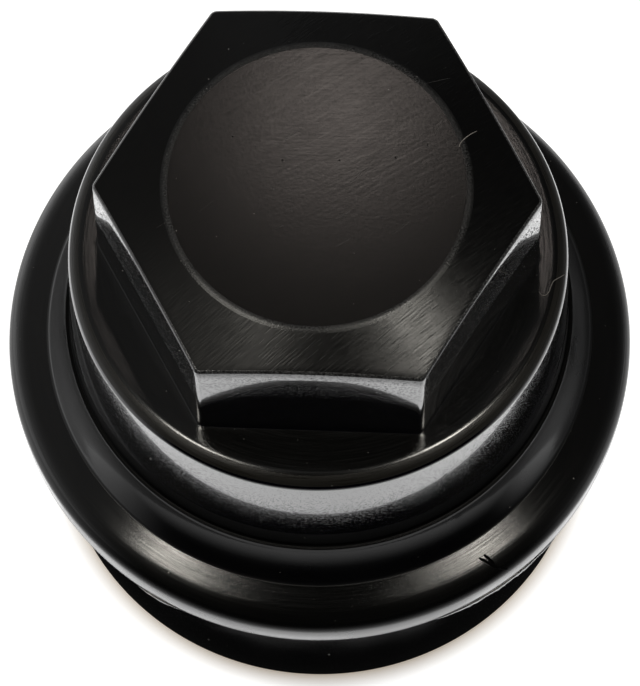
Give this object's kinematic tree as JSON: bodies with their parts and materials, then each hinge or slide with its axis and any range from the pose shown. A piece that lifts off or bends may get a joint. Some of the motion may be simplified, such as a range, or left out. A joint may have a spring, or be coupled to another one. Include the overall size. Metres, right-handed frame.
{
  "type": "wheel nut cover cap",
  "caption": "Gloss black moulded cap that covers a wheel nut, with a hexagon head, a round collar, a beaded flange and a plain hollow skirt.",
  "frame": {"origin": "centre of the skirt's rim, on the cap's axis", "axes": "+Z along the cap's axis towards the hexagon head; two corners of the hexagon lie on the X axis"},
  "size_m": [0.0366, 0.0366, 0.0396],
  "materials": {
    "black_plastic": "gloss moulded black, satin on the disc"
  },
  "bodies": {
    "root": {"cap": "black_plastic"}
  },
  "joints": []
}
